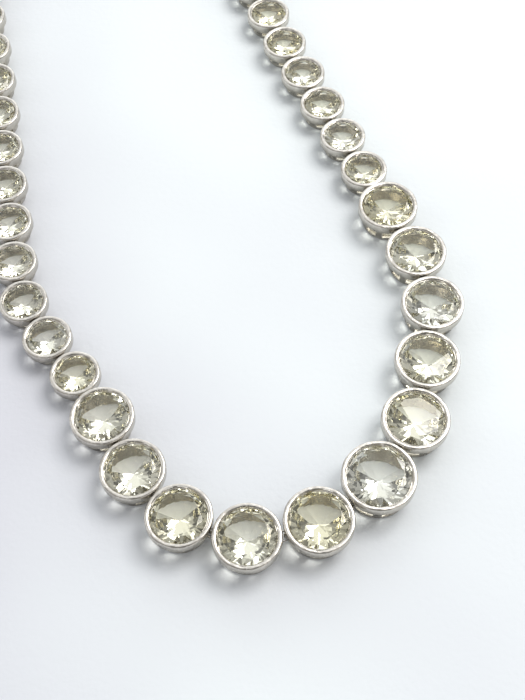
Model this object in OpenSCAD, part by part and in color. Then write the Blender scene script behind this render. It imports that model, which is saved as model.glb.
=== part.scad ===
// Riviere necklace: a closed loop of round stones in open-backed collets, largest at the centre front,
// joined by small rings through soldered lugs and closed by a plain box clasp.
// Lies flat: the feet of the collets are at z = 0 and the middle of the loop is at the origin.

/* [Settings] */
// Outer diameter of the centre setting
centre_d = 8.1; // [7.5:0.05:9]
// Outer diameter of the two settings beside the centre one
shoulder_d = 7.55; // [7.1:0.05:8]
// Outer diameter of the last large setting on each side
outer_d = 7.15; // [6:0.05:7.4]
// Outer diameter of every small setting
small_d = 5.75; // [5.2:0.05:6.4]
// Small settings on each side
small_count = 28; // [22:1:34]
// Gap between the rims of two neighbours
rim_gap = 0.15; // [0.15:0.05:0.4]

/* [Collet] */
// Thickness of the rim round a stone
rim_wall = 0.46; // [0.3:0.02:0.6]
// How far the rim leans in over the edge of the stone
lip_w = 0.14; // [0.05:0.01:0.2]
// Rim top above the edge of the stone
rim_drop = 0.4; // [0.35:0.05:0.6]
// Height of the plain band under the rim
band_h = 1.1; // [0.9:0.05:1.3]
// Height over which the wall narrows to the gallery
flare_h = 0.45; // [0.3:0.05:0.5]
// How far the gallery stands back from the rim
gallery_inset = 0.65; // [0.65:0.05:0.9]
// Wall of the gallery and of the base ring
gallery_wall = 0.4; // [0.3:0.05:0.5]
// Height of the base ring
base_ring_h = 0.4; // [0.3:0.05:0.5]
// Width of the round hole in the foot, as a share of the setting's diameter
foot_hole_share = 0.46; // [0.4:0.02:0.5]
// Thickness of the foot at its hole
foot_t = 0.2; // [0.1:0.05:0.25]
// Metal between the band and the top of an arch
arch_drop = 0.1; // [0.05:0.05:0.2]
// Width of the posts between the arches
post_w = 0.9; // [0.6:0.05:1.1]
// Width of the seat under the edge of the stone
seat_w = 0.25; // [0.15:0.01:0.3]
// Clearance round the edge of the stone
stone_fit = 0.04; // [0.03:0.01:0.06]
// Clearance over and under the edge of the stone
seat_fit = 0.05; // [0.03:0.01:0.08]
// Arches on each side of a large setting
large_arches = 4; // [3:1:4]
// Arches on each side of a small setting
small_arches = 3; // [2:1:3]

/* [Stone] */
// Width of the table, as a share of the stone's diameter
table_share = 0.74; // [0.68:0.01:0.78]
// Height of the crown, as a share of the stone's diameter
crown_share = 0.1; // [0.08:0.01:0.12]
// Thickness of the edge, as a share of the stone's diameter
girdle_share = 0.02; // [0.015:0.005:0.04]
// Depth of the pavilion, as a share of the stone's diameter
pavilion_share = 0.39; // [0.38:0.005:0.43]
// Reach of the star facets from the table towards the edge
star_share = 0.5; // [0.4:0.05:0.6]
// Reach of the lower facets from the edge towards the point
lower_share = 0.7; // [0.6:0.01:0.8]
// Point of a stone above the surface under the necklace
point_gap = 0.3; // [0.2:0.05:0.6]
// Turn of each stone past its neighbour, in degrees
stone_turn = 17; // [0:1:44]

/* [Links] */
// Wire of the rings between the settings
link_wire = 0.24; // [0.2:0.01:0.26]
// Hole in each lug
lug_hole = 0.5; // [0.48:0.01:0.54]
// Metal round the hole of a lug
lug_rim = 0.23; // [0.2:0.01:0.25]
// Thickness of a lug
lug_t = 0.3; // [0.2:0.05:0.3]
// Gap between two lugs that face each other
lug_gap = 0.16; // [0.12:0.02:0.2]
// Height of the middle of the lugs and rings
lug_z = 0.8; // [0.7:0.05:0.9]

/* [Clasp] */
// Length of the clasp's box
clasp_l = 9; // [7:0.5:12]
// Width of the clasp's box
clasp_w = 4.8; // [4:0.2:6]
// Height of the clasp's box
clasp_h = 2.6; // [2:0.1:3.2]
// Radius of the clasp's corners
clasp_corner = 1.4; // [0.8:0.1:2]
// Bevel round the clasp's top
clasp_bevel = 0.5; // [0.3:0.05:0.7]

/* [Hidden] */
metal = [0.86, 0.86, 0.84];
glassy = [0.93, 0.93, 0.85];
round_fn = 64;
wire_fn = 24;
arch_sides = 6;
nudge = 0.01;

// The way the string lies, through the middles of some of its settings, from the centre setting to
// the left and on round the back. The loop is scaled a little so that it closes on whole settings.
route = [
    [26.5, -86], [20, -90.5], [12.5, -92], [5.5, -89.5], [0.5, -84], [-3, -77.5], [-6.5, -71.5],
    [-13, -61.5], [-15.5, -50], [-17.5, -38], [-19.5, -25.5], [-22.5, -10.5], [-25.5, 4],
    [-29.5, 18.5], [-33, 33], [-37, 47.5], [-40.5, 61], [-42, 75], [-39.5, 87.5], [-32.5, 95],
    [-22, 95.5], [-13.5, 88.5], [-8, 76], [-4.5, 62], [-1, 48], [2.5, 34.5], [6.5, 21], [10, 7.5],
    [14, -6], [18.5, -20], [24, -34], [28.5, -45], [31, -51.5], [33.5, -58], [34.5, -65.5],
    [33, -72.5], [31, -79.5]
];
large_count = 5;
strand_count = large_count + small_count;

// Diameter of setting k, counted from the centre: positive to the left, negative to the right
function setting_d(k) =
    k == 0 ? centre_d :
    abs(k) > large_count ? small_d :
    outer_d + (shoulder_d - outer_d)*pow(1 - (abs(k) - 1)/(large_count - 1), 2);
function stone_d(d) = d - 2*(rim_wall + stone_fit);
function setting_h(d) = point_gap + (pavilion_share + girdle_share)*stone_d(d) + rim_drop;
function arch_top(d) = setting_h(d) - band_h - arch_drop;

// Form of every stone, for a radius of 1: height gained on the way in from the edge along the kites,
// the tips of the stars, and the steepest way in, along the ridges between the halves
facet_turn = 360/16;
crown_slope = 2*crown_share/(1 - table_share);
pavilion_slope = 2*pavilion_share;
table_flat = table_share*cos(facet_turn);
star_reach = table_flat + star_share*(1 - table_flat);
star_rise = (1 - star_reach*cos(facet_turn))*crown_slope;
crown_steepest = star_rise/(1 - star_reach);
lower_reach = 1 - lower_share;
lower_drop = (1 - lower_reach*cos(facet_turn))*pavilion_slope;

// A smooth curve through the points of the route; u counts the points
function route_point(i) = route[(i + 4*len(route)) % len(route)];
function curve(u) =
    let (i = floor(u), t = u - i,
         a = route_point(i - 1), b = route_point(i), c = route_point(i + 1), d = route_point(i + 2))
    (2*b + (c - a)*t + (2*a - 5*b + 4*c - d)*t*t + (3*b - a - 3*c + d)*t*t*t)/2;
function pace(u) = norm(curve(u + nudge) - curve(u - nudge))/(2*nudge);

// Distance between the middles of setting k and the one before it
function step_of(k) = (setting_d(k) + setting_d(k - 1))/2 + rim_gap;

// The place on the curve, scaled by s, that lies a step away from the point p
function step_to(p, u, step, way, s, tries = 5) =
    tries == 0 ? u :
    step_to(p, u + way*(step - norm(s*curve(u) - p))/(s*pace(u)), step, way, s, tries - 1);
function walk(way, s, k = 1, u = 0) =
    k > strand_count ? [] :
    let (v = step_to(s*curve(u), u + way*step_of(k)/(s*pace(u)), step_of(k), way, s))
    concat([s*curve(v)], walk(way, s, k + 1, v));

// Distance between the two last settings, with the clasp and its two rings between them
clasp_span = clasp_l + 2*gallery_inset + 2*rim_gap + small_d;
function last_of(list) = list[len(list) - 1];
function miss(s) = norm(last_of(walk(1, s)) - last_of(walk(-1, s))) - clasp_span;
function close_loop(s, t, miss_s, miss_t, tries = 4) =
    tries == 0 || abs(miss_t) < 0.0001 ? t :
    let (next = t - miss_t*(t - s)/(miss_t - miss_s))
    close_loop(t, next, miss_t, miss(next), tries - 1);
function sum(list, i = 0) = i >= len(list) ? 0 : list[i] + sum(list, i + 1);
route_length = sum([for (u = [0:0.1:len(route) - 0.05]) norm(curve(u + 0.1) - curve(u))]);
string_length = clasp_span + 2*sum([for (k = [1:strand_count]) step_of(k)]);
first_scale = string_length/route_length;
loop_scale = close_loop(first_scale, 1.002*first_scale, miss(first_scale), miss(1.002*first_scale));

left_walk = walk(1, loop_scale);
right_walk = walk(-1, loop_scale);
walked = concat([loop_scale*curve(0)], left_walk, right_walk);
reach = [for (i = [0:len(walked) - 1]) setting_d(i > strand_count ? i - strand_count : i)/2];
low = [for (axis = [0:1]) min([for (i = [0:len(walked) - 1]) walked[i][axis] - reach[i]])];
high = [for (axis = [0:1]) max([for (i = [0:len(walked) - 1]) walked[i][axis] + reach[i]])];
middle = (low + high)/2;

// Middle of setting k in the part's frame; one past the last setting is the clasp
clasp_at = (last_of(left_walk) + last_of(right_walk))/2 - middle;
function place(k) =
    abs(k) > strand_count ? clasp_at :
    (k == 0 ? walked[0] : k > 0 ? left_walk[k - 1] : right_walk[-k - 1]) - middle;
function heading(from, to) = atan2(to[1] - from[1], to[0] - from[0]);
function towards(k, other) = heading(place(k), place(other));

// Middle of a lug's hole before the point halfway between two neighbours
lug_back = lug_gap/2 + lug_rim + lug_hole/2;

// How far the hole of a lug lies from the middle of a setting or clasp whose edge is given
function lug_x(edge) = edge + rim_gap/2 - lug_back;

// A flat lug standing out along +X from a wall whose outer face is at x = face, before its hole
module lug(face, edge) {
    root = face - gallery_wall/2;
    translate([0, 0, lug_z]) rotate([90, 0, 0]) linear_extrude(lug_t, center = true) {
        translate([lug_x(edge), 0]) circle(d = lug_hole + 2*lug_rim, $fn = wire_fn);
        translate([root, -lug_hole/2]) square([lug_x(edge) - root, lug_hole]);
    }
}
module lug_bore(edge) {
    translate([lug_x(edge), 0, lug_z]) rotate([90, 0, 0])
        cylinder(h = 2*lug_t, d = lug_hole, center = true, $fn = wire_fn);
}

// The wall of a collet and the foot that reaches in under the stone, turned about its axis
module collet_wall(d) {
    h = setting_h(d);
    rim_r = d/2;
    stone_r = stone_d(d)/2;
    edge_top = h - rim_drop;
    edge_low = edge_top - girdle_share*stone_d(d);
    base_r = rim_r - gallery_inset;
    flare_top = h - band_h;
    rim_round = rim_wall/4;
    foot_r = foot_hole_share*rim_r;
    rotate_extrude($fn = round_fn) polygon([
        [foot_r, 0],
        [base_r, 0],
        [base_r, flare_top - flare_h],
        [rim_r, flare_top],
        [rim_r, h - 2*rim_round],
        [rim_r - rim_round/2, h - rim_round/2],
        [rim_r - 1.5*rim_round, h],
        [rim_r - 2.5*rim_round, h],
        [stone_r, h - rim_round],
        [stone_r - lip_w, edge_top + lip_w*crown_steepest + seat_fit],
        [stone_r + stone_fit, edge_top + seat_fit],
        [stone_r + stone_fit, edge_low - seat_fit],
        [stone_r + stone_fit - seat_w, edge_low - seat_fit - seat_w*pavilion_slope],
        [stone_r + stone_fit - seat_w, flare_top - seat_fit],
        [base_r - gallery_wall, flare_top - flare_h - seat_fit],
        [base_r - gallery_wall, base_ring_h - seat_fit],
        [foot_r, foot_t]
    ]);
}

// One arch through the gallery, along +X, round at the top
module arch(d, width) {
    inner = d/2 - gallery_inset - 2*gallery_wall;
    spring = arch_top(d) - width/2;
    outline = concat(
        [[width/2, base_ring_h]],
        [for (angle = [0:180/arch_sides:180]) [width/2*cos(angle), spring + width/2*sin(angle)]],
        [[-width/2, base_ring_h]]
    );
    translate([inner, 0, 0]) rotate([90, 0, 90]) linear_extrude(d/2 - inner + 1) polygon(outline);
}

// A collet at the origin with its lugs at the angles a and b, and its arches evenly between them
module collet(d, a, b, arches) {
    base_r = d/2 - gallery_inset;
    turn = (b - a + 720) % 360;
    width = min(PI*base_r/arches - post_w, arch_top(d) - base_ring_h);
    difference() {
        union() {
            rotate(a + turn/arches) collet_wall(d);
            for (angle = [a, b]) rotate(angle) lug(base_r, d/2);
        }
        for (i = [0:arches - 1]) {
            rotate(a + turn*(i + 0.5)/arches) arch(d, width);
            rotate(b + (360 - turn)*(i + 0.5)/arches) arch(d, width);
        }
        for (angle = [a, b]) rotate(angle) lug_bore(d/2);
    }
}

// A round brilliant of 57 facets on its point's axis: table, stars, kites and halves over the edge,
// halves and kites under it
module brilliant(d) {
    r = stone_d(d)/2;
    edge_low = point_gap + pavilion_share*2*r;
    edge_top = edge_low + girdle_share*2*r;
    function ring(count, radius, z, start = 0) =
        [for (i = [0:count - 1]) [radius*cos(start + i*360/count), radius*sin(start + i*360/count), z]];
    // Points: 0 to 7 table, 8 to 15 star tips, 16 to 31 and 32 to 47 edge, 48 to 55 lower tips, 56 point
    points = concat(
        ring(8, table_share*r, edge_top + crown_share*2*r),
        ring(8, star_reach*r, edge_top + star_rise*r, facet_turn), ring(16, r, edge_top), ring(16, r, edge_low),
        ring(8, lower_reach*r, edge_low - lower_drop*r, facet_turn), [[0, 0, point_gap]]
    );
    faces = concat(
        [[7, 6, 5, 4, 3, 2, 1, 0]],
        [for (i = [0:7]) [i, (i + 1) % 8, 8 + i]],
        [for (i = [0:7]) [i, 8 + i, 16 + 2*i, 8 + (i + 7) % 8]],
        [for (i = [0:7]) [8 + i, 17 + 2*i, 16 + 2*i]],
        [for (i = [0:7]) [8 + i, 16 + (2*i + 2) % 16, 17 + 2*i]],
        [for (i = [0:15]) [16 + i, 16 + (i + 1) % 16, 32 + (i + 1) % 16, 32 + i]],
        [for (i = [0:7]) [48 + i, 32 + 2*i, 33 + 2*i]],
        [for (i = [0:7]) [48 + i, 33 + 2*i, 32 + (2*i + 2) % 16]],
        [for (i = [0:7]) [56, 48 + (i + 7) % 8, 32 + 2*i, 48 + i]]
    );
    polyhedron(points = points, faces = faces);
}

// Setting k in its place
module setting(k) {
    d = setting_d(k);
    color(metal) translate(place(k))
        collet(d, towards(k, k + 1), towards(k, k - 1), abs(k) > large_count ? small_arches : large_arches);
}

// Stone k in its place, turned a little past its neighbour
module stone(k) {
    color(glassy) translate(place(k)) rotate(stone_turn*k) brilliant(setting_d(k));
}

// The ring between setting k and the next one on its side
module link(k, next) {
    d = setting_d(k);
    from = place(k);
    angle = towards(k, next);
    color(metal) translate([from[0], from[1], lug_z]) rotate(angle) translate([d/2 + rim_gap/2, 0, 0])
        rotate_extrude($fn = round_fn) translate([lug_back, 0]) circle(d = link_wire, $fn = wire_fn);
}

module left_settings() {
    for (k = [large_count + 1:strand_count]) setting(k);
}
module right_settings() {
    for (k = [large_count + 1:strand_count]) setting(-k);
}
module left_stones() {
    for (k = [large_count + 1:strand_count]) stone(k);
}
module right_stones() {
    for (k = [large_count + 1:strand_count]) stone(-k);
}
module front_links() {
    for (k = [0:large_count]) {
        link(k, k + 1);
        link(-k, -k - 1);
    }
}
module left_links() {
    for (k = [large_count + 1:strand_count]) link(k, k + 1);
}
module right_links() {
    for (k = [large_count + 1:strand_count]) link(-k, -k - 1);
}

// The box clasp, along the line between the two last settings
module clasp() {
    half = clasp_l/2;
    color(metal) translate(clasp_at) rotate(heading(last_of(left_walk), last_of(right_walk))) difference() {
        union() {
            clasp_box();
            for (angle = [0, 180]) rotate(angle) lug(half, half + gallery_inset);
        }
        for (angle = [0, 180]) rotate(angle) lug_bore(half + gallery_inset);
    }
}
module clasp_box() {
    half = clasp_l/2;
    intersection() {
        linear_extrude(clasp_h) {
            square([clasp_l - 2*clasp_corner, clasp_w], center = true);
            square([clasp_l, clasp_w - 2*clasp_corner], center = true);
            for (x = [-1, 1], y = [-1, 1])
                translate([x*(half - clasp_corner), y*(clasp_w/2 - clasp_corner)])
                    circle(r = clasp_corner, $fn = round_fn);
        }
        rotate([90, 0, 0]) linear_extrude(clasp_w + 1, center = true) bevelled(clasp_l, clasp_h);
        rotate([90, 0, 90]) linear_extrude(clasp_l + 1, center = true) bevelled(clasp_w, clasp_h);
    }
}

// A rectangle on the ground with its two upper corners bevelled
module bevelled(width, height) {
    polygon([
        [-width/2, 0], [width/2, 0], [width/2, height - clasp_bevel], [width/2 - clasp_bevel, height],
        [clasp_bevel - width/2, height], [-width/2, height - clasp_bevel]
    ]);
}

setting(0);  // setting_centre
setting(1);  // setting_left_1
setting(2);  // setting_left_2
setting(3);  // setting_left_3
setting(4);  // setting_left_4
setting(5);  // setting_left_5
setting(-1);  // setting_right_1
setting(-2);  // setting_right_2
setting(-3);  // setting_right_3
setting(-4);  // setting_right_4
setting(-5);  // setting_right_5
stone(0);  // stone_centre
stone(1);  // stone_left_1
stone(2);  // stone_left_2
stone(3);  // stone_left_3
stone(4);  // stone_left_4
stone(5);  // stone_left_5
stone(-1);  // stone_right_1
stone(-2);  // stone_right_2
stone(-3);  // stone_right_3
stone(-4);  // stone_right_4
stone(-5);  // stone_right_5
left_settings();
right_settings();
left_stones();
right_stones();
front_links();
left_links();
right_links();
clasp();
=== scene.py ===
# Riviere necklace: collets, rings and clasp made finer than the frame's own, and clear cut stones.
import math
from collections import namedtuple

import bmesh
import bpy
import numpy as np
from mathutils import Matrix, Vector


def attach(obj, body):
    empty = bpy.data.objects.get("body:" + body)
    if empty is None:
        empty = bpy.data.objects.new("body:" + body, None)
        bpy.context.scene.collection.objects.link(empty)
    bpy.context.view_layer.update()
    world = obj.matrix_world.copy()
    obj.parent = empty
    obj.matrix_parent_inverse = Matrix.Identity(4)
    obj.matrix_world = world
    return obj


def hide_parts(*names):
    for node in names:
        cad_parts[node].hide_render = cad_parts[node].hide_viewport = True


MM = 0.001

# Collet sizes in millimetres, as in the part's source
RIM_WALL = 0.46
RIM_DROP = 0.4
LIP = 0.14
LIP_RISE = 0.2
BAND = 1.1
FLARE = 0.45
GALLERY_INSET = 0.65
GALLERY_WALL = 0.4
BASE_RING = 0.4
FOOT_THICK = 0.2
ARCH_DROP = 0.1
POST = 0.9
SEAT = 0.25
STONE_FIT = 0.04
SEAT_FIT = 0.05

# From the part's source too: the foot's hole as a share of the collet's width, the stone's edge as a share
# of the stone's width, how steeply its underside falls, and how many arches and large settings there are
FOOT_HOLE = 0.46
EDGE_SHARE = 0.02
PAVILION_SLOPE = 0.78
LARGE_ARCHES = 4
SMALL_ARCHES = 3
LARGE_EACH_SIDE = 5

# Lugs and rings between the settings in millimetres, as in the part's source
LINK_WIRE = 0.24
LUG_HOLE = 0.5
LUG_RIM = 0.23
LUG_THICK = 0.3
LUG_GAP = 0.16
LUG_Z = 0.8
RIM_GAP = 0.15

# The rim's rounded top in quarters of its wall, from its outside inwards and from its top down, and how far
# the edge over the stone leans in below it
RIM_PROFILE = ((0, 2), (0.2, 1), (0.6, 0.35), (1.3, 0), (3.2, 0.1), (4, 0.45))
LIP_LEAN = 0.1

# How far a lug's round end runs on past a half turn, in radians, and how far an arch's cut goes past the
# collet's side, in millimetres
LUG_WRAP = 0.5
CUT_PAST = 1

# Steps round a collet, a lug, its hole, the head of an arch, a ring and a ring's wire
LARGE_STEPS = 96
SMALL_STEPS = 42
LUG_STEPS = 14
HOLE_STEPS = 16
ARCH_STEPS = 10
RING_STEPS = 32
WIRE_STEPS = 10

# Width of the rounded edges, in millimetres, and steps across them
EDGE_SOFT = 0.035
EDGE_STEPS = 2
CLASP_SOFT = 0.12
CLASP_STEPS = 3

# Hand-worked unevenness of the rims, in millimetres: how strong, the size of its features, how far down it
# fades out, and the room left for it inside the source's width
UNEVENNESS = 0.15
UNEVEN_SIZE = 1.2
UNEVEN_BAND = 0.8
UNEVEN_ROOM = 0.02

# Angles in degrees: edges sharper than this are rounded, those of round wire aren't, and faces closer than
# this are one flat face. Points closer than this, in metres, are one point.
SHARP_ANGLE = 35
WIRE_ANGLE = 60
FLAT_ANGLE = 0.5
SAME_POINT = 1e-6

# Polished metal, at its darkest and lightest, and the same for the rings' wire
POLISHED_DARK = (0.54, 0.507, 0.457)
POLISHED_LIGHT = (0.69, 0.657, 0.60)
WIRE_DARK = (0.50, 0.47, 0.44)
WIRE_LIGHT = (0.62, 0.60, 0.57)

# Painted shade inside the collets and under the band, as darker metal colour at its darkest and lightest,
# how far under the rim's top it starts inside, in millimetres, and how shaded the foot, the base ring and
# the band's edge are, from 0 to 1
PAINTED_SHADE_DARK = (0.20, 0.18, 0.14)
PAINTED_SHADE_LIGHT = (0.56, 0.525, 0.45)
PAINTED_SHADE_FROM = 0.67
FOOT_PAINTED_SHADE = 0.4
BASE_PAINTED_SHADE = 0.2
BAND_PAINTED_SHADE = 0.7

# The stones' body colour, at its clearest and its warmest, the light that they let through to what is under
# them, and how strongly they bend light
STONE_CLEAR = (0.972, 0.973, 0.952)
STONE_WARM = (0.964, 0.952, 0.872)
STONE_SHADOW = (1.0, 1.0, 0.98)
STONE_BENDING = 1.65

# The surface under the necklace: its colours, how far painted shade and light turn it from one to the other
# towards its sides, over how many millimetres, and how far it reaches
SURFACE_GREY = (0.655, 0.665, 0.715)
SURFACE_WHITE = (0.80, 0.845, 0.865)
SURFACE_PAINTED_TURN = 0.2
SURFACE_PAINTED_REACH = 45
SURFACE_REACH = 900

# Camera, as the photograph was taken: place and nearest and farthest sight in millimetres, angles in degrees
CAMERA_AT = (18.06, -133.35, 111.5)
CAMERA_DOWN = 60.3
CAMERA_ROLL = -2.32
CAMERA_LENS = 57.32
CAMERA_SENSOR = 36
CAMERA_NEAR = 5
CAMERA_FAR = 10000

# Key light: place and size in millimetres, power in watts and colour
KEY_AT = (270, 110, 460)
KEY_SIZE = 290
KEY_POWER = 1.88
KEY_COLOUR = (1.0, 0.98, 0.95)

# Grey of the studio's walls, as height and tone
STUDIO_WALLS = ((0.0, 0.25), (0.5, 0.46))

# Round soft screens in the studio: direction, angles where it is full and gone, in degrees, and colour
STUDIO_SCREENS = (
    ((0.05, 0.5, 0.86), 16, 38, (1.1, 1.12, 1.14)),
    ((0.0, 1.0, 0.15), 14, 44, (1.9, 1.99, 2.06)),
    ((0.0, -0.3, 0.95), 10, 26, (0.08, 0.08, 0.08)),
    ((0.9, 0.15, 0.55), 7, 16, (2.0, 1.95, 1.9)),
    ((-0.85, 0.2, 0.6), 9, 20, (1.7, 1.75, 1.8)),
    ((0.55, -0.75, 0.4), 6, 16, (1.4, 1.35, 1.3)),
    ((-0.5, -0.8, 0.35), 6, 14, (1.3, 1.3, 1.35)),
)

# How often light may pass through or be mirrored: the stones need it often
LIGHT_PASSES = 20
LIGHT_MIRRORED = 16
LIGHT_IN_ALL = 24

# A stone in the frame, and a setting with the node that holds it. Point is the height of the stone's tip.
Stone = namedtuple("Stone", "middle radius point")
Setting = namedtuple("Setting", "node middle diameter point")

# Where a piece is set, its heading, and the turn from there to what comes before it
Place = namedtuple("Place", "at heading turn")

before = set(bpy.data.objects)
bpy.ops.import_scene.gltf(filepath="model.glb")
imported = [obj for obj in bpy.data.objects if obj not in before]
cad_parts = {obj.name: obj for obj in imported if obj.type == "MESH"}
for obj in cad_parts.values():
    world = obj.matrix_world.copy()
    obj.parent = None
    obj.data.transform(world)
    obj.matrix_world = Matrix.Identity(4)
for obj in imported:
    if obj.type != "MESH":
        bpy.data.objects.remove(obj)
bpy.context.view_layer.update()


def islands(work):
    """The points of each loose piece of a bmesh."""
    left = set(work.verts)
    found = []
    while left:
        start = left.pop()
        island, waiting = {start}, [start]
        while waiting:
            vert = waiting.pop()
            for edge in vert.link_edges:
                other = edge.other_vert(vert)
                if other not in island:
                    island.add(other)
                    waiting.append(other)
        left -= island
        found.append(island)
    return found


def stones_of(node):
    """The stones in a CAD node, in millimetres, from the frame's own mesh."""
    work = bmesh.new()
    work.from_mesh(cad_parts[node].data)
    bmesh.ops.remove_doubles(work, verts=work.verts, dist=SAME_POINT)
    found = []
    for island in islands(work):
        at = np.array([vert.co for vert in island])/MM
        middle = (at.min(0) + at.max(0))/2
        radius = np.hypot(*(at - middle)[:, :2].T).max()
        found.append(Stone(Vector((middle[0], middle[1], 0)), radius, at[:, 2].min()))
    work.free()
    return found


def in_order(found, start):
    """The stones of a string in order, each the nearest to the one before it."""
    left, at, chain = list(found), start, []
    while left:
        nearest = min(left, key=lambda stone: (stone.middle - at).length)
        left.remove(nearest)
        chain.append(nearest)
        at = nearest.middle
    return chain


def settings_round_the_loop():
    """Every setting, from the left end of the string through the centre to its right end."""
    sides = {}
    for side in ("left", "right"):
        large = [(f"setting_{side}_{i + 1}", stones_of(f"stone_{side}_{i + 1}")[0])
                 for i in range(LARGE_EACH_SIDE)]
        small = in_order(stones_of(f"{side}_stones"), large[-1][1].middle)
        sides[side] = large + [(f"{side}_settings", stone) for stone in small]
    centre = [("setting_centre", stones_of("stone_centre")[0])]
    return [Setting(node, stone.middle, 2*(stone.radius + RIM_WALL + STONE_FIT), stone.point)
            for node, stone in sides["left"][::-1] + centre + sides["right"]]


def heading(a, b):
    """Direction from one point to another, seen from above."""
    return math.atan2(b.y - a.y, b.x - a.x)


def collet_height(diameter, point):
    """Height of the collet whose stone has its tip at this height."""
    stone_d = diameter - 2*(RIM_WALL + STONE_FIT)
    return point + (PAVILION_SLOPE/2 + EDGE_SHARE)*stone_d + RIM_DROP


def collet_outline(diameter, height):
    """Closed outline of the collet's wall as radii and heights, up its outside and down its inside."""
    rim_r = diameter/2 - UNEVEN_ROOM
    stone_r = diameter/2 - RIM_WALL - STONE_FIT
    seat_r = stone_r + STONE_FIT - SEAT
    base_r = diameter/2 - GALLERY_INSET
    foot_r = FOOT_HOLE*diameter/2
    edge_top = height - RIM_DROP
    edge_low = edge_top - EDGE_SHARE*2*stone_r
    flare_top = height - BAND
    quarter = RIM_WALL/4
    outside = [(foot_r, 0), (base_r, 0), (base_r, flare_top - FLARE), (rim_r, flare_top)]
    rim = [(rim_r - inwards*quarter, height - down*quarter) for inwards, down in RIM_PROFILE]
    lip = [(stone_r - LIP_LEAN*quarter, height - quarter), (stone_r - LIP, edge_top + LIP_RISE)]
    seat = [
        (stone_r + STONE_FIT, edge_top + SEAT_FIT), (stone_r + STONE_FIT, edge_low - SEAT_FIT),
        (seat_r, edge_low - SEAT_FIT - SEAT*PAVILION_SLOPE)
    ]
    inside = [
        (seat_r, flare_top - SEAT_FIT), (base_r - GALLERY_WALL, flare_top - FLARE - SEAT_FIT),
        (base_r - GALLERY_WALL, BASE_RING - SEAT_FIT), (foot_r, FOOT_THICK)
    ]
    return outside + rim + lip + seat + inside


def mesh_object(name, work):
    """A new object from a bmesh in millimetres, its mesh in metres."""
    mesh = bpy.data.meshes.new(name)
    bmesh.ops.recalc_face_normals(work, faces=work.faces)
    work.to_mesh(mesh)
    work.free()
    mesh.transform(Matrix.Scale(MM, 4))
    piece = bpy.data.objects.new(name, mesh)
    bpy.context.scene.collection.objects.link(piece)
    return piece


def turned(outline, steps):
    """A bmesh of a closed outline of radii and heights, turned about the Z axis."""
    work = bmesh.new()
    rows = []
    for i in range(steps):
        angle = math.tau*i/steps
        rows.append([work.verts.new((r*math.cos(angle), r*math.sin(angle), z)) for r, z in outline])
    for row, after in zip(rows, rows[1:] + rows[:1]):
        for j in range(len(outline)):
            k = (j + 1) % len(outline)
            work.faces.new((row[j], row[k], after[k], after[j]))
    return work


def prism(work, outline, low, high, place):
    """Adds a prism to a bmesh: an outline, drawn from low to high along its third axis, then placed."""
    foot = [work.verts.new(place @ Vector((x, y, low))) for x, y in outline]
    head = [work.verts.new(place @ Vector((x, y, high))) for x, y in outline]
    work.faces.new(foot[::-1])
    work.faces.new(head)
    for j in range(len(outline)):
        k = (j + 1) % len(outline)
        work.faces.new((foot[j], foot[k], head[k], head[j]))


def arc(radius, first, last, steps, middle=(0, 0)):
    """Points along an arc from one angle to another, both ends among them."""
    angles = [first + (last - first)*i/steps for i in range(steps + 1)]
    return [(middle[0] + radius*math.cos(a), middle[1] + radius*math.sin(a)) for a in angles]


def outward(angle):
    """Turns a drawing of width and height to stand across the direction at this angle."""
    upright = Matrix(((0, 0, 1, 0), (1, 0, 0, 0), (0, 1, 0, 0), (0, 0, 0, 1)))
    return Matrix.Rotation(angle, 4, "Z") @ upright


def sideways(angle):
    """Turns a drawing of length and height to stand along the direction at this angle."""
    upright = Matrix(((1, 0, 0, 0), (0, 0, -1, 0), (0, 1, 0, 0), (0, 0, 0, 1)))
    return Matrix.Rotation(angle, 4, "Z") @ upright


def lug_reach(edge):
    """Distance of a lug's hole from the middle of a setting whose edge is this far from it."""
    return edge + RIM_GAP/2 - (LUG_GAP/2 + LUG_RIM + LUG_HOLE/2)


def bake(piece):
    """Turns an object's modifiers into its mesh."""
    graph = bpy.context.evaluated_depsgraph_get()
    mesh = bpy.data.meshes.new_from_object(piece.evaluated_get(graph), depsgraph=graph)
    piece.modifiers.clear()
    piece.data = mesh


def joined(piece, other, operation):
    """Joins another piece to this one, or cuts it out, and removes the other."""
    step = piece.modifiers.new(operation.lower(), "BOOLEAN")
    step.operation = operation
    step.solver = "EXACT"
    step.object = other
    bake(piece)
    bpy.data.objects.remove(other)


def merge(piece):
    """Makes doubled points one, and faces that lie flat together one."""
    work = bmesh.new()
    work.from_mesh(piece.data)
    bmesh.ops.remove_doubles(work, verts=work.verts, dist=SAME_POINT)
    bmesh.ops.dissolve_limit(work, angle_limit=math.radians(FLAT_ANGLE), verts=work.verts, edges=work.edges)
    work.to_mesh(piece.data)
    work.free()


def shade(piece, angle):
    """Shades a piece smooth, apart from edges sharper than this angle."""
    piece.data.shade_smooth()
    piece.data.set_sharp_from_angle(angle=math.radians(angle))


def softened(piece, width, steps):
    """Rounds the sharp edges of a piece and shades the rest smooth."""
    merge(piece)
    bevel = piece.modifiers.new("bevel", "BEVEL")
    bevel.width = width*MM
    bevel.segments = steps
    bevel.limit_method = "ANGLE"
    bevel.angle_limit = math.radians(SHARP_ANGLE)
    bevel.miter_outer = "MITER_ARC"
    bake(piece)
    shade(piece, SHARP_ANGLE)


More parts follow.
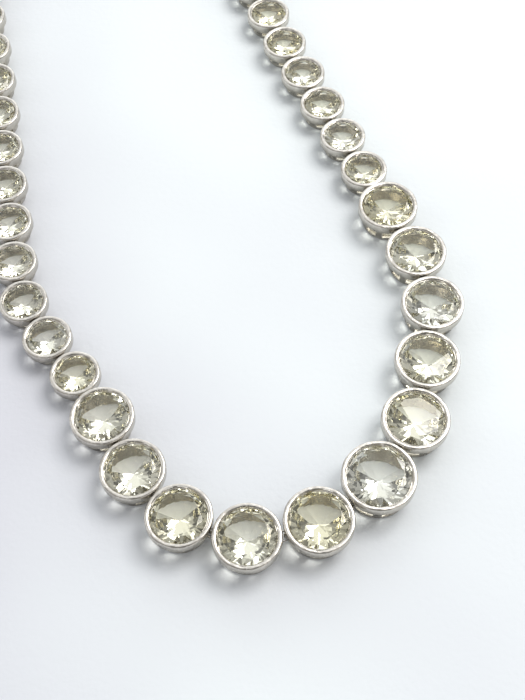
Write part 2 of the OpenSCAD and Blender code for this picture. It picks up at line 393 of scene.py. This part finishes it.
def collet(diameter, height, arches, steps):
    """A collet at the origin, its lugs towards +X and -X and its arches evenly between them."""
    base_r = diameter/2 - GALLERY_INSET
    arch_top = height - BAND - ARCH_DROP
    width = min(math.pi*base_r/arches - POST, arch_top - BASE_RING)
    piece = mesh_object("collet", turned(collet_outline(diameter, height), steps))
    lugs, cuts = bmesh.new(), bmesh.new()
    root = base_r - GALLERY_WALL/2
    hole_at = (lug_reach(diameter/2), LUG_Z)
    past = math.pi/2 + LUG_WRAP
    for angle in (0, math.pi):
        end = arc(LUG_HOLE/2 + LUG_RIM, -past, past, LUG_STEPS, hole_at)
        lug = [(root, LUG_Z - LUG_HOLE/2)] + end + [(root, LUG_Z + LUG_HOLE/2)]
        prism(lugs, lug, -LUG_THICK/2, LUG_THICK/2, sideways(angle))
        hole = arc(LUG_HOLE/2, 0, math.tau, HOLE_STEPS, hole_at)[:-1]
        prism(cuts, hole, -LUG_THICK, LUG_THICK, sideways(angle))
        for i in range(arches):
            head = arc(width/2, 0, math.pi, ARCH_STEPS, (0, arch_top - width/2))
            window = [(width/2, BASE_RING)] + head + [(-width/2, BASE_RING)]
            towards = outward(angle + math.pi*(i + 0.5)/arches)
            prism(cuts, window, root - GALLERY_WALL, diameter/2 + CUT_PAST, towards)
    joined(piece, mesh_object("lugs", lugs), "UNION")
    joined(piece, mesh_object("cuts", cuts), "DIFFERENCE")
    softened(piece, EDGE_SOFT, EDGE_STEPS)
    mark_painted_shade(piece, diameter, height)
    return piece


def mark_painted_shade(piece, diameter, height):
    """Marks how much painted shade each point of a collet gets, from 0 to 1: the inner side under the seat,
    and the outer side from the band's lower edge down to the lighter base ring."""
    flare_top = height - BAND
    base_middle = diameter/2 - GALLERY_INSET - GALLERY_WALL/2
    band_middle = diameter/2 - (RIM_WALL + SEAT)/2
    marks = []
    # Painted shade: darker inside below the seat and outside under the band, lighter towards the foot and
    # base ring.
    for vertex in piece.data.vertices:
        x, y, z = vertex.co/MM
        up = min(max((z - flare_top + FLARE)/FLARE, 0), 1)
        wall_middle = base_middle + (band_middle - base_middle)*up
        low = min(max((z - BASE_RING)/(flare_top - FLARE - BASE_RING), 0), 1)
        if math.hypot(x, y) < wall_middle:
            mark = 0 if z > height - PAINTED_SHADE_FROM else FOOT_PAINTED_SHADE + (1 - FOOT_PAINTED_SHADE)*low
        elif z > flare_top + SEAT_FIT:
            mark = 0
        else:
            mark = BASE_PAINTED_SHADE + (1 - BASE_PAINTED_SHADE)*low - (1 - BAND_PAINTED_SHADE)*up
        marks.append(mark)
    piece.data.attributes.new("unpolished", "FLOAT", "POINT").data.foreach_set("value", marks)


def ring():
    """A round wire ring, lying flat at the height of the lugs."""
    radius = LUG_GAP/2 + LUG_RIM + LUG_HOLE/2
    angles = [math.tau*i/WIRE_STEPS for i in range(WIRE_STEPS)]
    wire = [(radius + LINK_WIRE/2*math.cos(a), LUG_Z + LINK_WIRE/2*math.sin(a)) for a in angles]
    piece = mesh_object("ring", turned(wire, RING_STEPS))
    shade(piece, WIRE_ANGLE)
    return piece


class Tree:
    """A node tree, with short calls for its nodes and links."""

    def __init__(self, tree):
        self.tree = tree

    def node(self, kind, values=(), **settings):
        """A new node with its settings, and its inputs set to values or linked to other nodes' outputs."""
        made = self.tree.nodes.new(kind)
        for key, value in settings.items():
            setattr(made, key, value)
        for key, value in dict(values).items():
            if isinstance(value, bpy.types.NodeSocket):
                self.tree.links.new(value, made.inputs[key])
            else:
                made.inputs[key].default_value = value
        return made

    def blend(self, share, first, second):
        """A blend of two colours, each three numbers or the output of another node."""
        first, second = ((*colour, 1) if isinstance(colour, tuple) else colour for colour in (first, second))
        return self.node("ShaderNodeMix", {0: share, 6: first, 7: second}, data_type="RGBA").outputs[2]


class StringNodes(Tree):
    """Geometry Nodes that set a piece on every point of a string."""

    def __init__(self):
        super().__init__(bpy.data.node_groups.new("string", "GeometryNodeTree"))
        self.add_sockets()
        self.given = self.node("NodeGroupInput")
        self.here = self.node("GeometryNodeInputPosition").outputs[0]

    def add_sockets(self):
        """The named inputs of the string, and its geometry as output."""
        face = self.tree.interface
        for name, kind in (("Geometry", "Geometry"), ("Piece", "Object"), ("Material", "Material"),
                           ("Unevenness", "Float"), ("Uneven size", "Float"), ("Uneven from", "Float"),
                           ("Uneven full", "Float"), ("Seed", "Float")):
            face.new_socket(name, in_out="INPUT", socket_type=f"NodeSocket{kind}")
        face.new_socket("Geometry", in_out="OUTPUT", socket_type="NodeSocketGeometry")

    def calc(self, operation, *values):
        """The result of an arithmetic operation."""
        return self.node("ShaderNodeMath", dict(enumerate(values)), operation=operation).outputs[0]

    def attribute(self, name, kind="FLOAT"):
        """What is stored on the points under this name."""
        made = self.node("GeometryNodeInputNamedAttribute", {"Name": name}, data_type=kind)
        return made.outputs["Attribute"]

    def store(self, geometry, name, value, kind="FLOAT"):
        """The geometry with a value stored on its points under this name."""
        made = self.node("GeometryNodeStoreNamedAttribute", {
            "Geometry": geometry, "Name": name, "Value": value}, data_type=kind, domain="POINT")
        return made.outputs["Geometry"]

    def moved(self, geometry, how, by):
        """The geometry with its points moved, to a Position or by an Offset."""
        return self.node("GeometryNodeSetPosition", {"Geometry": geometry, how: by}).outputs[0]

    def piece(self):
        """The piece, each point of it keeping its own angle about the piece's axis."""
        piece = self.node("GeometryNodeObjectInfo", {"Object": self.given.outputs["Piece"]},
                          transform_space="ORIGINAL")
        apart = self.node("ShaderNodeSeparateXYZ", {0: self.here})
        angle = self.calc("ARCTAN2", apart.outputs["Y"], apart.outputs["X"])
        return self.store(piece.outputs["Geometry"], "side", angle)

    def placed(self):
        """One piece on each point, turned towards the next one."""
        points = self.store(self.given.outputs["Geometry"], "middle", self.here, "FLOAT_VECTOR")
        spin = self.node("ShaderNodeCombineXYZ", {"Z": self.attribute("heading")})
        rotation = self.node("FunctionNodeEulerToRotation", {0: spin.outputs[0]})
        pieces = self.node("GeometryNodeInstanceOnPoints", {
            "Points": points, "Instance": self.piece(), "Rotation": rotation.outputs[0]})
        return self.node("GeometryNodeRealizeInstances", {0: pieces.outputs[0]}).outputs[0]

    def bent(self, geometry):
        """The second lug turned to the neighbour before, and the arches spread evenly between the two."""
        bend = self.calc("SUBTRACT", self.calc("DIVIDE", self.attribute("turn"), math.pi), 1)
        shift = self.calc("MULTIPLY", self.calc("ABSOLUTE", self.attribute("side")), bend)
        turn = self.node("ShaderNodeVectorRotate", {
            "Vector": self.here, "Center": self.attribute("middle", "FLOAT_VECTOR"), "Angle": shift},
            rotation_type="Z_AXIS")
        return self.moved(geometry, "Position", turn.outputs[0])

    def uneven(self, geometry):
        """Hand-worked unevenness, growing from one height to another."""
        given = self.given.outputs
        noise = self.node("ShaderNodeTexNoise", {
            "Detail": 1, "Vector": self.here, "W": given["Seed"],
            "Scale": self.calc("DIVIDE", 1, given["Uneven size"])}, noise_dimensions="4D")
        high = self.node("ShaderNodeSeparateXYZ", {0: self.here}).outputs["Z"]
        share = self.node("ShaderNodeMapRange", {
            "Value": high, "From Min": given["Uneven from"], "From Max": given["Uneven full"]})
        centred = self.calc("SUBTRACT", noise.outputs["Fac"], 0.5)
        amount = self.calc("MULTIPLY", self.calc("MULTIPLY", centred, share.outputs[0]), given["Unevenness"])
        normal = self.node("GeometryNodeInputNormal").outputs[0]
        push = self.node("ShaderNodeVectorMath", {0: normal, "Scale": amount}, operation="SCALE")
        return self.moved(geometry, "Offset", push.outputs[0])

    def covered(self, geometry):
        """Gives the string its material and hands it on."""
        string = self.node("GeometryNodeSetMaterial", {
            "Geometry": geometry, "Material": self.given.outputs["Material"]})
        self.node("NodeGroupOutput", {"Geometry": string.outputs[0]})
        return self.tree


def string_tree():
    """The tree that sets a piece on every point, turned to its neighbours and a little uneven."""
    nodes = StringNodes()
    return nodes.covered(nodes.uneven(nodes.bent(nodes.placed())))


def string_of(name, piece, places, material, uneven=(0, 1, 0, 1), seed=0.0):
    """Sets a piece on places in millimetres and radians, as one plain mesh. Uneven is how strong, the size
    of its features, and the heights where it starts and is full."""
    mesh = bpy.data.meshes.new(name)
    mesh.from_pydata([place.at*MM for place in places], [], [])
    for key in ("heading", "turn"):
        values = [getattr(place, key) for place in places]
        mesh.attributes.new(key, "FLOAT", "POINT").data.foreach_set("value", values)
    laid = bpy.data.objects.new(name, mesh)
    bpy.context.scene.collection.objects.link(laid)
    nodes = laid.modifiers.new("string", "NODES")
    nodes.node_group = STRING
    amount, size, low, high = (value*MM for value in uneven)
    inputs = {"Piece": piece, "Material": material, "Unevenness": amount, "Uneven size": size,
              "Uneven from": low, "Uneven full": high, "Seed": seed}
    for item in STRING.interface.items_tree:
        if item.in_out == "INPUT" and item.name in inputs:
            nodes[item.identifier] = inputs[item.name]
    bake(laid)
    for attribute in ("heading", "turn", "side", "middle"):
        if attribute in laid.data.attributes:
            laid.data.attributes.remove(laid.data.attributes[attribute])
    laid.data.name = name
    return laid


class Shading(Tree):
    """A new material, with short calls for its noise, ranges and relief."""

    def __init__(self, name):
        self.material = bpy.data.materials.new(name)
        self.material.use_nodes = True
        super().__init__(self.material.node_tree)
        self.tree.nodes.clear()
        self.output = self.node("ShaderNodeOutputMaterial")
        self.place = self.node("ShaderNodeTexCoord").outputs["Object"]

    def noise(self, size, detail, stretch=(1, 1, 1)):
        """Noise with features of about this size in millimetres."""
        place = self.node("ShaderNodeMapping", {"Vector": self.place, "Scale": stretch})
        return self.node("ShaderNodeTexNoise", {
            "Vector": place.outputs[0], "Scale": 1/(size*MM), "Detail": detail}).outputs["Fac"]

    def ranged(self, value, low, high, start=0.3, end=0.7):
        """The value, its range from start to end drawn out from low to high. Noise is mostly 0.3 to 0.7."""
        made = self.node("ShaderNodeMapRange", {
            "Value": value, "From Min": start, "From Max": end, "To Min": low, "To Max": high})
        return made.outputs["Result"]

    def bump(self, height, depth, under=None):
        """A relief of this depth in millimetres, over another one if given."""
        values = {"Height": height, "Distance": depth*MM, "Strength": 1.0}
        if under is not None:
            values["Normal"] = under
        return self.node("ShaderNodeBump", values).outputs["Normal"]

    def done(self, surface):
        """Links the surface to the material's output."""
        self.tree.links.new(surface, self.output.inputs["Surface"])
        return self.material


def white_metal():
    """Polished white gold: faint polishing waves, fine scratches and slightly duller patches, and painted
    shade, a darker metal colour, where a collet is marked for it."""
    s = Shading("white_metal")
    waves = s.noise(size=1.1, detail=2)
    haze = s.noise(size=0.5, detail=4)
    scratches = s.noise(size=0.35, detail=4, stretch=(1, 9, 1))
    relief = s.bump(waves, depth=0.045, under=s.bump(scratches, depth=0.0015))
    polished = s.blend(s.ranged(haze, 0, 1), POLISHED_DARK, POLISHED_LIGHT)
    # Painted shade: darker metal colour inside the collets and under the band, where the mark says.
    shaded_metal = s.blend(s.ranged(waves, 0, 1), PAINTED_SHADE_DARK, PAINTED_SHADE_LIGHT)
    unpolished = s.node("ShaderNodeAttribute", attribute_name="unpolished").outputs["Fac"]
    surface = s.node("ShaderNodeBsdfPrincipled", {
        "Base Color": s.blend(unpolished, polished, shaded_metal), "Metallic": 1.0,
        "Roughness": s.ranged(haze, low=0.17, high=0.3), "Normal": relief})
    return s.done(surface.outputs[0])


def link_wire():
    """Drawn white metal wire, a little darker and duller than the collets."""
    s = Shading("link_wire")
    haze = s.noise(size=0.3, detail=3)
    surface = s.node("ShaderNodeBsdfPrincipled", {
        "Base Color": s.blend(s.ranged(haze, 0, 1), WIRE_DARK, WIRE_LIGHT), "Metallic": 1.0,
        "Roughness": s.ranged(haze, low=0.14, high=0.28), "Normal": s.bump(haze, depth=0.004)})
    return s.done(surface.outputs[0])


def cut_stone():
    """A clear cut stone, a little more yellow in one place than in another, that lets light down to what is
    under it."""
    s = Shading("cut_stone")
    body = s.blend(s.ranged(s.noise(size=9, detail=1), 0, 1), STONE_CLEAR, STONE_WARM)
    glass = s.node("ShaderNodeBsdfGlass", {"Color": body, "Roughness": 0.0, "IOR": STONE_BENDING})
    through = s.node("ShaderNodeBsdfTransparent", {"Color": (*STONE_SHADOW, 1)})
    to_light = s.node("ShaderNodeLightPath").outputs["Is Shadow Ray"]
    both = s.node("ShaderNodeMixShader", {0: to_light, 1: glass.outputs[0], 2: through.outputs[0]})
    return s.done(both.outputs[0])


def pale_surface():
    """White paper with faint clouds and weave, with painted shade greying it towards its left and painted
    light towards its right.
    """
    s = Shading("pale_surface")
    # Painted shade and light: the surface turns greyer towards its left and whiter towards its right.
    across = s.node("ShaderNodeSeparateXYZ", {0: s.place}).outputs["X"]
    reach = SURFACE_PAINTED_REACH*MM
    side = s.ranged(across, -SURFACE_PAINTED_TURN, SURFACE_PAINTED_TURN, -reach, reach)
    clouds = s.noise(size=60, detail=2)
    tone = s.node("ShaderNodeMath", {0: clouds, 1: side}, operation="ADD").outputs[0]
    surface = s.node("ShaderNodeBsdfPrincipled", {
        "Base Color": s.blend(s.ranged(tone, 0, 1), SURFACE_GREY, SURFACE_WHITE), "Roughness": 0.85,
        "Normal": s.bump(s.noise(size=0.7, detail=3), depth=0.03)})
    return s.done(surface.outputs[0])


def key_light():
    """A large soft light from the right, aimed at the middle of the necklace."""
    light = bpy.data.lights.new("key", "AREA")
    light.shape = "RECTANGLE"
    light.size = light.size_y = KEY_SIZE*MM
    light.energy = KEY_POWER
    light.color = KEY_COLOUR
    lamp = bpy.data.objects.new("key", light)
    lamp.location = Vector(KEY_AT)*MM
    lamp.rotation_euler = Vector(KEY_AT).to_track_quat("Z", "Y").to_euler()
    bpy.context.scene.collection.objects.link(lamp)


def camera():
    """The camera, as the photograph was taken."""
    lens = bpy.data.cameras.new("camera")
    lens.lens = CAMERA_LENS
    lens.sensor_width = CAMERA_SENSOR
    lens.clip_start = CAMERA_NEAR*MM
    lens.clip_end = CAMERA_FAR*MM
    down, roll = math.radians(CAMERA_DOWN), math.radians(CAMERA_ROLL)
    forward = Vector((0, math.cos(down), -math.sin(down)))
    right, up = Vector((1, 0, 0)), Vector((0, math.sin(down), math.cos(down)))
    across = math.cos(roll)*right + math.sin(roll)*up
    above = -math.sin(roll)*right + math.cos(roll)*up
    viewer = bpy.data.objects.new("camera", lens)
    turned_to = Matrix((across, above, -forward)).transposed().to_4x4()
    viewer.matrix_world = Matrix.Translation(Vector(CAMERA_AT)*MM) @ turned_to
    bpy.context.scene.collection.objects.link(viewer)
    bpy.context.scene.camera = viewer


def surroundings():
    """A soft studio: grey above, darker low down, with a few round soft screens round it."""
    world = bpy.data.worlds.new("studio")
    bpy.context.scene.world = world
    world.use_nodes = True
    world.node_tree.nodes.clear()
    tree = Tree(world.node_tree)
    towards = tree.node("ShaderNodeTexCoord").outputs["Generated"]
    apart = tree.node("ShaderNodeSeparateXYZ", {0: towards})
    walls = tree.node("ShaderNodeValToRGB", {0: apart.outputs["Z"]})
    for element, (height, tone) in zip(walls.color_ramp.elements, STUDIO_WALLS):
        element.position = height
        element.color = (tone, tone, tone, 1)
    light = walls.outputs[0]
    for screen in STUDIO_SCREENS:
        light = screen_over(tree, towards, light, *screen)
    background = tree.node("ShaderNodeBackground", {"Color": light})
    tree.node("ShaderNodeOutputWorld", {"Surface": background.outputs[0]})


def screen_over(tree, towards, under, direction, full, gone, colour):
    """Lays a round soft screen over the studio: full within one angle of a direction, gone past another."""
    nearness = tree.node("ShaderNodeVectorMath", {0: towards, 1: Vector(direction).normalized()},
                         operation="DOT_PRODUCT")
    share = tree.node("ShaderNodeMapRange", {
        "Value": nearness.outputs["Value"], "From Min": math.cos(math.radians(gone)),
        "From Max": math.cos(math.radians(full))}, interpolation_type="SMOOTHSTEP")
    return tree.blend(share.outputs["Result"], under, colour)


def floor():
    """The wide surface that the necklace lies on."""
    work = bmesh.new()
    reach = SURFACE_REACH
    corners = ((-reach, -reach), (reach, -reach), (reach, reach), (-reach, reach))
    work.faces.new([work.verts.new((x, y, 0)) for x, y in corners])
    piece = mesh_object("floor", work)
    piece.data.materials.append(pale_surface())


def stands_for(piece, node):
    """Puts a piece in the place of a CAD node: hangs it under the root body and hides the node."""
    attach(piece, "root")
    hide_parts(node)


def places_of_settings(loop, clasp_at):
    """Place of each setting, turned to the next one, with the turn from there to the one before it."""
    middles = [clasp_at] + [setting.middle for setting in loop] + [clasp_at]
    places = []
    for before, at, after in zip(middles, middles[1:], middles[2:]):
        towards = heading(at, after)
        places.append(Place(at, towards, (heading(at, before) - towards) % math.tau))
    return places


def add_settings(loop, clasp_at):
    """Collets for the frame's settings: one master of each size, set on every place of its node."""
    strings = {}
    for setting, place in zip(loop, places_of_settings(loop, clasp_at)):
        strings.setdefault(setting.node, (setting, []))[1].append(place)
    masters = {}
    for node, (first, places) in strings.items():
        small = node.endswith("_settings")
        height = collet_height(first.diameter, first.point)
        size = round(first.diameter, 2)
        if size not in masters:
            masters[size] = collet(first.diameter, height, SMALL_ARCHES if small else LARGE_ARCHES,
                                   SMALL_STEPS if small else LARGE_STEPS)
        uneven = (UNEVENNESS, UNEVEN_SIZE, height - UNEVEN_BAND, height)
        piece = string_of(f"{node}_polished", masters[size], places, METAL, uneven, len(masters))
        stands_for(piece, node)
    for master in masters.values():
        bpy.data.objects.remove(master)


def places_of_links(loop, clasp_at):
    """Places of each links' node: half way between the rims of two neighbours, and beside the clasp."""
    places = {"left_links": [], "front_links": [], "right_links": []}
    for one, other in zip(loop, loop[1:]):
        away = (other.middle - one.middle).normalized()
        at = (one.middle + away*(one.diameter/2) + other.middle - away*(other.diameter/2))/2
        side = one.node.split("_")[0] if one.node == other.node else "front"
        places[f"{side}_links"].append(Place(at, heading(one.middle, other.middle), math.pi))
    for end, owner in ((loop[0], "left_links"), (loop[-1], "right_links")):
        away = (clasp_at - end.middle).normalized()
        at = end.middle + away*(end.diameter/2 + RIM_GAP/2)
        places[owner].append(Place(at, heading(end.middle, clasp_at), math.pi))
    return places


def add_links(loop, clasp_at):
    """Wire rings for the frame's links."""
    master = ring()
    for node, places in places_of_links(loop, clasp_at).items():
        stands_for(string_of(f"{node}_wire", master, places, WIRE), node)
    bpy.data.objects.remove(master)


def add_clasp():
    """The frame's clasp with its edges rounded."""
    clasp = bpy.data.objects.new("clasp_polished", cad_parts["clasp"].data.copy())
    clasp.data.materials.clear()
    bpy.context.scene.collection.objects.link(clasp)
    softened(clasp, CLASP_SOFT, CLASP_STEPS)
    clasp.data.materials.append(METAL)
    stands_for(clasp, "clasp")


def clear_the_stones():
    """Gives the frame's own stones the cut stone's material."""
    for name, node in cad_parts.items():
        if "stone" in name:
            for slot in node.material_slots:
                slot.material = STONE


def picture_settings():
    """Plain tones, and light that passes through the stones many times."""
    scene = bpy.context.scene
    scene.view_settings.view_transform = "Standard"
    scene.view_settings.look = "None"
    scene.view_settings.exposure = 0.0
    scene.cycles.max_bounces = LIGHT_IN_ALL
    scene.cycles.transmission_bounces = LIGHT_PASSES
    scene.cycles.glossy_bounces = LIGHT_MIRRORED


camera()
surroundings()
floor()
key_light()

STRING = string_tree()
METAL = white_metal()
WIRE = link_wire()
STONE = cut_stone()

LOOP = settings_round_the_loop()
CLASP_AT = (LOOP[0].middle + LOOP[-1].middle)/2
add_settings(LOOP, CLASP_AT)
add_links(LOOP, CLASP_AT)
add_clasp()
clear_the_stones()
picture_settings()
